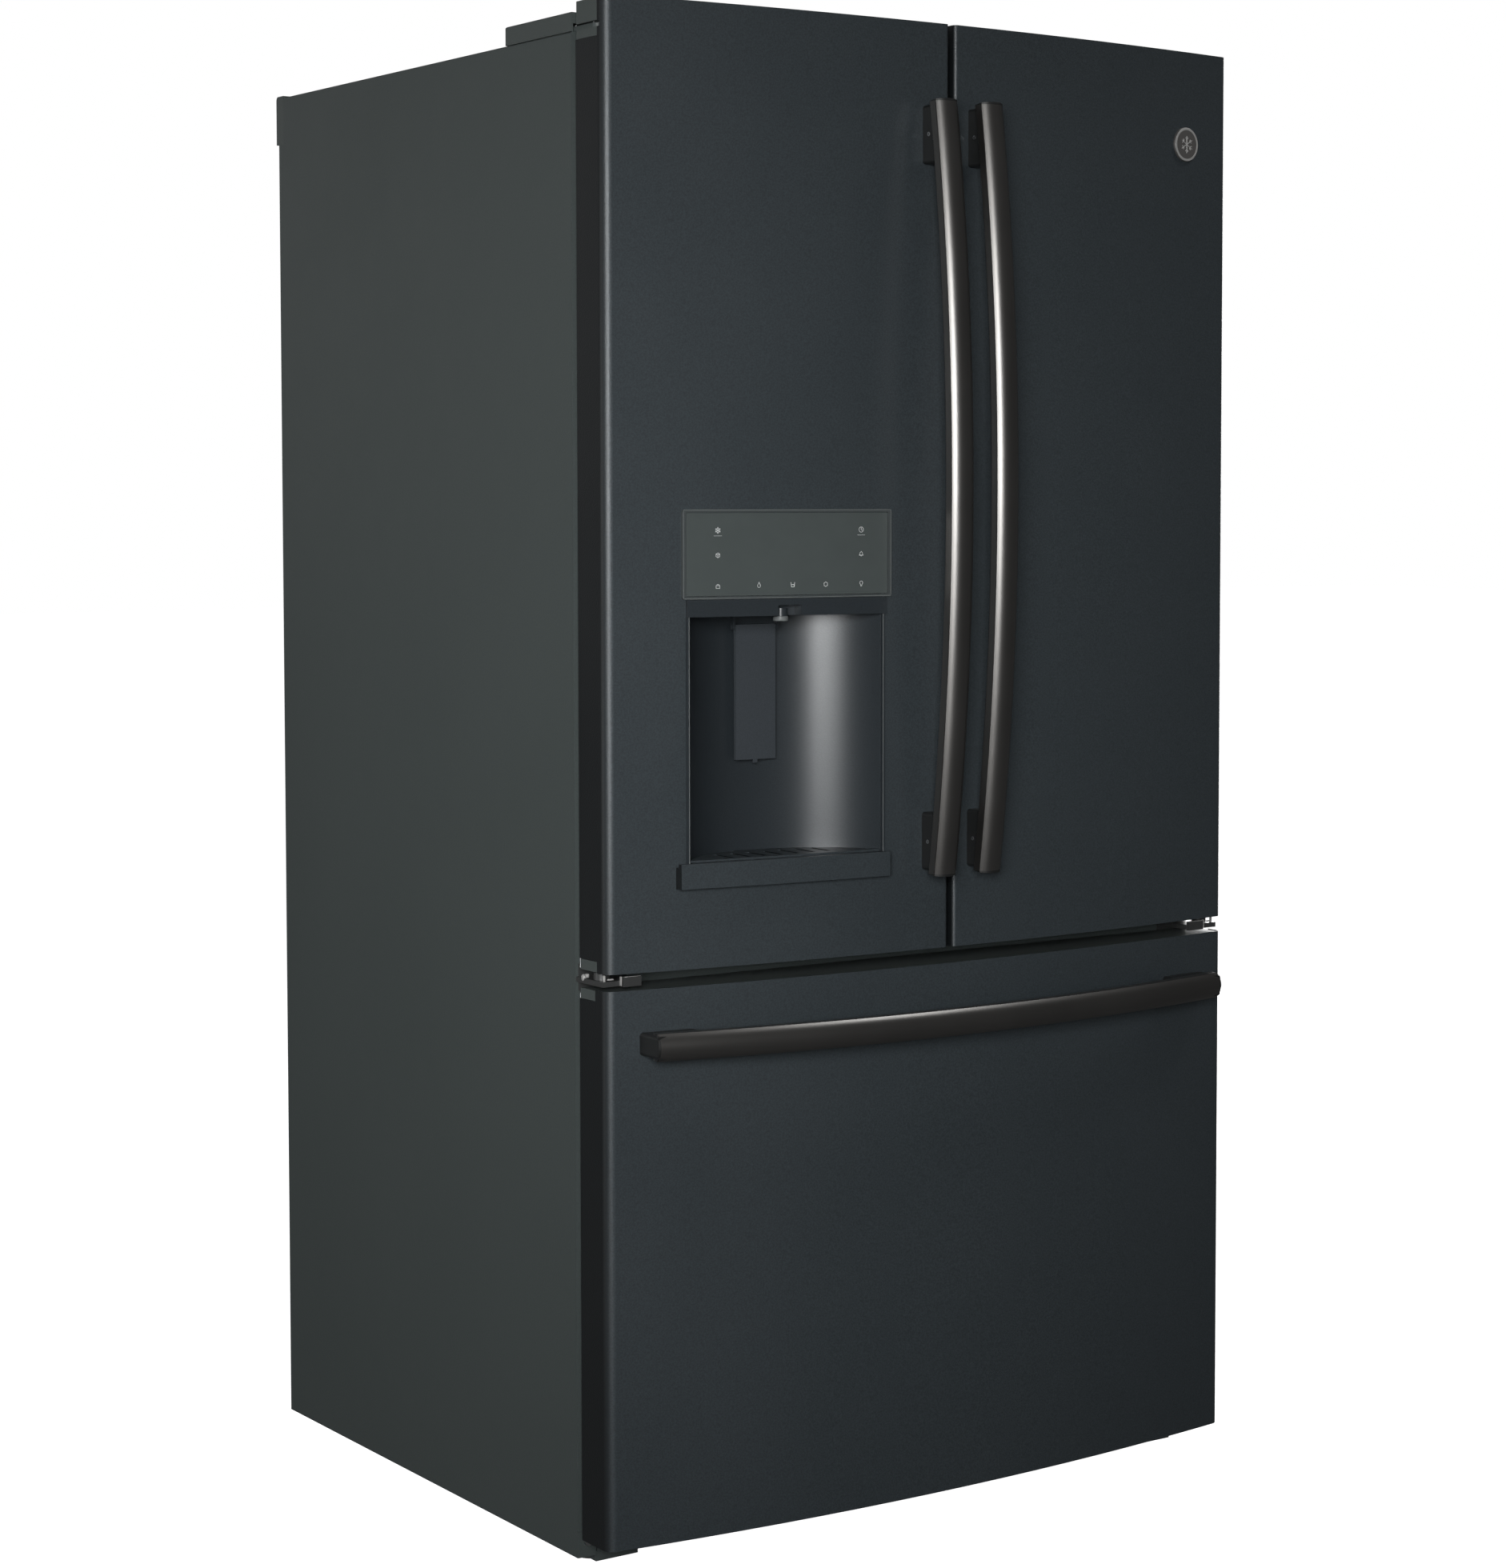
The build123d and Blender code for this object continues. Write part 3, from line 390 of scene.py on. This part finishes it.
DROP = circle(1.9, 12, (0, -0.8), -220, 40) + [(0, 3.2)]
BULB = circle(2.0, 12, (0, 0.8), -60, 240) + [(-0.9, -2.0), (0.9, -2.0)]
BELL = [(-2.6, -1.6), (-1.8, -0.6), (-1.5, 1.2), (0, 2.6), (1.5, 1.2), (1.8, -0.6), (2.6, -1.6)]
CUBE = [(-2.3, -1.6), (0, -2.8), (2.3, -1.6), (2.3, 1.2), (0, 2.4), (-2.3, 1.2)]
COLUMNS = {"a": -317.5 * MM, "b": -265.3 * MM, "c": -221.4 * MM, "d": -177.7 * MM, "e": -129.6 * MM}
ROWS = {"high": 1189 * MM, "middle": 1161.2 * MM, "low": 1127 * MM}
MARKS = {
    ("a", "high"): [(line, False) for line in crystal(3.4)],
    ("a", "middle"): [(CUBE, True), ([(-2.3, 1.2), (0, 0), (2.3, 1.2)], False), ([(0, 0), (0, -2.8)], False)],
    ("a", "low"): [([(-2.3, 0), (2.3, 0), (2.3, -3), (-2.3, -3)], True),
                   (circle(1.5, 10, (0, 0), 0, 180), False)],
    ("b", "low"): [(DROP, True)],
    ("c", "low"): [([(-2.4, 2.4), (-1.8, -2.6), (1.8, -2.6), (2.4, 2.4)], False),
                   ([(-2.0, 0), (2.0, 0)], False)],
    ("d", "low"): [(CUBE, True)],
    ("e", "low"): [(BULB, True), ([(-0.7, -3.0), (0.7, -3.0)], False)],
    ("e", "high"): [(circle(3.0, 20), True), ([(0, 0), (0, 2.0)], False), ([(0, 0), (1.5, -0.8)], False)],
    ("e", "middle"): [(BELL, True), ([(-0.6, -2.6), (0.6, -2.6)], False)],
}
marks = bmesh.new()
for (column, row), lines in MARKS.items():
    for line, closed in lines:
        stroke(marks, (COLUMNS[column], ROWS[row]), line, closed)
for column in ("a", "e"):
    stroke(marks, (COLUMNS[column], ROWS["high"] - 6.2 * MM), [(-5, 0), (5, 0)], width=0.3 * MM)
piece("panel_marks", marks, "left_door", "bezel", PRINT, smooth=False)

# ---------------------------------------------------------------- badge motif
badge_low, badge_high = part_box("badge")
badge_centre = (badge_low + badge_high) / 2
badge_tilt = math.asin(badge_centre.x / FRONT_RADIUS)
badge_out = Vector((math.sin(badge_tilt), -math.cos(badge_tilt), 0))
badge_face = Vector((badge_centre.x, front_y(badge_centre.x, 0.05 * MM), badge_centre.z)) + badge_out * 3 * MM
badge_across = Vector((-badge_out.y, badge_out.x, 0))
badge_turn = Matrix((badge_across, Vector((0, 0, 1)), badge_out)).transposed().to_4x4()
badge_place = Matrix.Translation(badge_face) @ badge_turn
ring = bmesh.new()
lathe(ring, [(17.6 * MM, -1.2 * MM), (17.6 * MM, 0.1 * MM), (19 * MM, 0.4 * MM),
             (20.4 * MM, 0.0), (20.4 * MM, -1.2 * MM), (17.6 * MM, -1.2 * MM)], badge_place, 64)
piece("badge_ring", ring, "right_door", "badge_metal", BRIGHT_STEEL)
motif = bmesh.new()
for line in crystal(10.5):
    tube(motif, [badge_place @ Vector((x * MM, z * MM, 0.15 * MM)) for x, z in line], 0.55 * MM, 10)
piece("badge_crystal", motif, "right_door", "badge_metal", BRIGHT_STEEL)

# ---------------------------------------------------------------- handle mounts' set screws
MOUNT_LOW, MOUNT_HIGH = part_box("right_handle_mounts")
screw_y = CROWN_Y - 11 * MM
for side_name, side in SIDES:
    screws = bmesh.new()
    for screw_z in (MOUNT_LOW.z + 39 * MM, MOUNT_HIGH.z - 39 * MM):
        place = facing((side * 33 * MM - 9 * MM, screw_y, screw_z), (-1, 0, 0))
        lathe(screws, [(1.1 * MM, -0.6 * MM), (1.1 * MM, 0.25 * MM), (2.1 * MM, 0.35 * MM),
                       (2.6 * MM, 0.05 * MM), (2.6 * MM, -0.6 * MM), (1.1 * MM, -0.6 * MM)], place, 24)
    piece(f"{side_name}_set_screws", screws, f"{side_name}_door", "zinc")

# ---------------------------------------------------------------- dispenser trim lines, painted edge highlights and small parts
HOUSING_LOW, HOUSING_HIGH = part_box("dispenser_housing")
RECESS_X = (HOUSING_LOW.x + 3.7 * MM, HOUSING_HIGH.x - 3.7 * MM)
RECESS_Z = (HOUSING_LOW.z + 3 * MM, HOUSING_HIGH.z - 19.2 * MM)
trim_and_highlight_strips = bmesh.new()
for edge in (RECESS_X[0] - 1.2 * MM, RECESS_X[1] + 0.4 * MM):
    band(trim_and_highlight_strips, (edge, edge + 0.8 * MM), RECESS_Z, 1.45 * MM, 0.3 * MM)
GLASS_LOW, GLASS_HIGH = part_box("panel_glass")
BEZEL_X = (GLASS_LOW.x - 4.2 * MM, GLASS_HIGH.x + 4.9 * MM)
BEZEL_Z = (GLASS_LOW.z - 3.0 * MM, GLASS_HIGH.z + 3.4 * MM)
# The bezel's thin lighter lines on all four sides are painted highlight along its edges.
for low, high in ((BEZEL_Z[1] - 0.6 * MM, BEZEL_Z[1]), (BEZEL_Z[0], BEZEL_Z[0] + 0.6 * MM)):
    band(trim_and_highlight_strips, BEZEL_X, (low, high), 3.2 * MM, 0.25 * MM, 24)
for edge in (BEZEL_X[0], BEZEL_X[1] - 0.6 * MM):
    band(trim_and_highlight_strips, (edge, edge + 0.6 * MM), BEZEL_Z, 3.2 * MM, 0.25 * MM)
piece("dispenser_trim_and_highlight_lines", trim_and_highlight_strips, "left_door", "bezel", TRIM_AND_HIGHLIGHT, smooth=False)

recess_middle = (RECESS_X[0] + RECESS_X[1]) / 2
nozzle = bmesh.new()
nozzle_y = front_y(recess_middle) + 13 * MM
nozzle_place = Matrix.Translation((recess_middle - 2 * MM, nozzle_y, RECESS_Z[1] - 6 * MM))
lathe(nozzle, [(3.2 * MM, -0.6 * MM), (8.4 * MM, -0.6 * MM), (8.8 * MM, 0.2 * MM), (8.8 * MM, 4.0 * MM),
               (8.2 * MM, 4.8 * MM), (3.2 * MM, 4.8 * MM), (3.2 * MM, -0.6 * MM)], nozzle_place, 32)
piece("dispenser_nozzle_ring", nozzle, "left_door", "bezel", TRIM_AND_HIGHLIGHT)

# Black pads on the recess floor stand in for the drain slots: painted shade where the slots' dark insides
# would be.
drain_slot_shade = bmesh.new()
for i in range(-3, 4):
    middle = recess_middle + i * 16 * MM
    depth = front_y(middle) + 34 * MM - abs(i) * 2 * MM
    rounded_block(drain_slot_shade, (middle - 5 * MM, depth - 1.2 * MM, RECESS_Z[0] - 0.2 * MM),
                  (middle + 5 * MM, depth + 1.2 * MM, RECESS_Z[0] + 0.3 * MM), 0.2 * MM, 2)
piece("dispenser_drain_slot_shade", drain_slot_shade, "left_door", "black_plastic")

# ---------------------------------------------------------------- hinge hardware in the gap above the drawer
HARDWARE_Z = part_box("mid_hinges")[0].z + 11 * MM


def hinge_block(target, side, xs, depths, zs, radius):
    """Adds a rounded block, in mm out from the middle, forward of the case and up from HARDWARE_Z."""
    near, far = sorted(side * x * MM for x in xs)
    rounded_block(target, (near, CASE_FRONT - depths[1] * MM, HARDWARE_Z + zs[0] * MM),
                  (far, CASE_FRONT - depths[0] * MM, HARDWARE_Z + zs[1] * MM), radius * MM, 2)


hardware = bmesh.new()
for _, side in SIDES:
    hinge_block(hardware, side, (405.5, 427.5), (61.2, 61.95), (-0.5, 9.5), 0.3)
    hinge_block(hardware, side, (429.6, 431.0), (58.0, 61.5), (-0.5, 10.0), 0.3)
    hinge_block(hardware, side, (447.0, 449.5), (52.5, 55.0), (1.5, 12.0), 0.6)
    hinge_block(hardware, side, (450.0, 453.2), (20.5, 24.5), (6.0, 10.5), 0.6)
    hinge_block(hardware, side, (438.0, 446.0), (56.0, 57.6), (6.2, 8.0), 0.5)
    hinge_block(hardware, side, (434.0, 446.0), (56.0, 57.6), (1.0, 3.2), 0.5)
    head = facing((side * 451.5 * MM, CASE_FRONT - 15 * MM, HARDWARE_Z + 5 * MM), (side, 0, 0))
    lathe(hardware, [(0, -1.0 * MM), (4.2 * MM, -1.0 * MM), (4.2 * MM, 0.6 * MM), (3.4 * MM, 1.5 * MM),
                     (1.8 * MM, 2.0 * MM), (0, 2.1 * MM)], head, 24)
piece("mid_hinge_hardware", hardware, "cabinet", "zinc", BRIGHT_STEEL)

for side_name, side in SIDES:
    button = bmesh.new()
    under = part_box(f"{side_name}_door_caps")[0].z
    place = facing((side * 391 * MM, CASE_FRONT - 52 * MM, under), (0, 0, -1))
    lathe(button, [(0, -1.0 * MM), (4.6 * MM, -1.0 * MM), (4.6 * MM, 1.4 * MM), (3.6 * MM, 2.2 * MM),
                   (0, 2.4 * MM)], place, 24)
    piece(f"{side_name}_door_stop_button", button, f"{side_name}_door", "zinc", BRIGHT_STEEL)

# ---------------------------------------------------------------- interior lights and back panel screws
LINER_LOW, LINER_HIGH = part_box("fresh_food_liner")
lamps = bmesh.new()
LAMP_HALF_WIDTH = 130 * MM
rounded_block(lamps, (-LAMP_HALF_WIDTH, LINER_LOW.y + 160 * MM, LINER_HIGH.z - 10 * MM),
              (LAMP_HALF_WIDTH, LINER_LOW.y + 220 * MM, LINER_HIGH.z - 2.6 * MM), 2.5 * MM, 4)
piece("interior_light_panel", lamps, "cabinet", "white_liner", LIGHT_PANEL)

PANEL_LOW, PANEL_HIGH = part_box("back_panel")
SCREWS_PER_SIDE = 8
SCREW_MARGIN = 50 * MM
screw_span = PANEL_HIGH.z - PANEL_LOW.z - 2 * SCREW_MARGIN
back_screws = bmesh.new()
for _, side in SIDES:
    for i in range(SCREWS_PER_SIDE):
        height = PANEL_LOW.z + SCREW_MARGIN + screw_span * i / (SCREWS_PER_SIDE - 1)
        place = facing((side * (PANEL_HIGH.x - 12 * MM), PANEL_HIGH.y, height), (0, 1, 0))
        lathe(back_screws, [(0, -0.6 * MM), (4.4 * MM, -0.6 * MM), (4.0 * MM, 0.5 * MM), (1.6 * MM, 0.9 * MM),
                            (0, 0.5 * MM)], place, 20)
piece("back_panel_screws", back_screws, "cabinet", "zinc")

# ---------------------------------------------------------------- camera, lights and floor
def aim(source, target):
    """Turns an object so that it looks at a point."""
    direction = Vector(target) - source.location
    source.rotation_euler = direction.to_track_quat("-Z", "Y").to_euler()


# Fitted to the photograph: degrees below level and to the right, focal length in mm for a 36 mm sensor.
CAMERA_PLACE = (-2.30927, -3.45266, 1.22468)
CAMERA_DROP = 3.219
CAMERA_YAW = 35.062
CAMERA_LENS = 74.955
CAMERA_SHIFT = (-0.05532, -0.065)
camera_data = bpy.data.cameras.new("camera")
camera = bpy.data.objects.new("camera", camera_data)
bpy.context.scene.collection.objects.link(camera)
camera.location = CAMERA_PLACE
camera.rotation_euler = (math.radians(90 - CAMERA_DROP), 0, math.radians(-CAMERA_YAW))
camera_data.lens = CAMERA_LENS
camera_data.sensor_width = 36
camera_data.shift_x, camera_data.shift_y = CAMERA_SHIFT
camera_data.clip_end = 100
bpy.context.scene.camera = camera


def soft_light(name, location, target, width, height, power, spread=180):
    data = bpy.data.lights.new(name, "AREA")
    data.shape = "RECTANGLE"
    data.size, data.size_y = width, height
    data.energy = power
    data.spread = math.radians(spread)
    made = bpy.data.objects.new(name, data)
    bpy.context.scene.collection.objects.link(made)
    made.location = location
    made.visible_camera = False
    aim(made, target)
    return made


soft_light("key_box", (-3.5, -3.1, 1.35), (0, -0.3, 1.2), 0.36, 1.0, 17)
soft_light("door_box", (-2.5, -3.4, 1.6), (-0.5, -0.3, 1.0), 1.4, 1.2, 18, spread=56)
soft_light("bar_box", (1.5, -1.2, 3.3), (-0.05, -0.42, 0.6), 0.6, 0.5, 1.0, spread=40)
soft_light("left_box", (-4.6, 1.0, 0.9), (-0.4, 0.1, 0.6), 2.2, 2.0, 28)
soft_light("top_box", (-0.6, 0.2, 4.4), (0, 0.2, 0.9), 2.2, 2.2, 5)
soft_light("rim_box", (3.3, 2.4, 1.3), (0.1, -0.3, 1.1), 1.2, 2.8, 110)
soft_light("back_box", (-0.6, 4.6, 2.2), (0, 0.3, 0.9), 2.4, 2.2, 15)

# The backdrop is white to the camera, and only a weak fill to the object.
FILL_STRENGTH = 0.07
world = bpy.data.worlds.new("studio")
bpy.context.scene.world = world
world.use_nodes = True
world_tree = world.node_tree
background = world_tree.nodes["Background"]
background.inputs["Color"].default_value = (1, 1, 1, 1)
background.inputs["Strength"].default_value = FILL_STRENGTH
bright = world_tree.nodes.new("ShaderNodeBackground")
bright.inputs["Color"].default_value = (1, 1, 1, 1)
bright.inputs["Strength"].default_value = 1.0
path = world_tree.nodes.new("ShaderNodeLightPath")
choice = world_tree.nodes.new("ShaderNodeMixShader")
world_tree.links.new(path.outputs["Is Camera Ray"], choice.inputs[0])
world_tree.links.new(background.outputs[0], choice.inputs[1])
world_tree.links.new(bright.outputs[0], choice.inputs[2])
world_tree.links.new(choice.outputs[0], world_tree.nodes["World Output"].inputs["Surface"])
bpy.context.scene.view_settings.view_transform = "Standard"

# The floor reads white and doesn't light the object from below.
floor_mesh = bmesh.new()
bmesh.ops.create_grid(floor_mesh, x_segments=1, y_segments=1, size=30)
floor_data = bpy.data.meshes.new("floor")
floor_mesh.to_mesh(floor_data)
floor_mesh.free()
floor = bpy.data.objects.new("floor", floor_data)
bpy.context.scene.collection.objects.link(floor)
floor_look = Graph("floor", (0.5, 0.5, 0.5), 0.9)
floor_look.bump(floor_look.noise(60.0), 0.00005, 0.3)
floor_look.shader.inputs["Emission Color"].default_value = (1, 1, 1, 1)
floor_look.shader.inputs["Emission Strength"].default_value = 1.0
floor_data.materials.append(floor_look.material)
floor.visible_diffuse = False
floor.visible_glossy = False
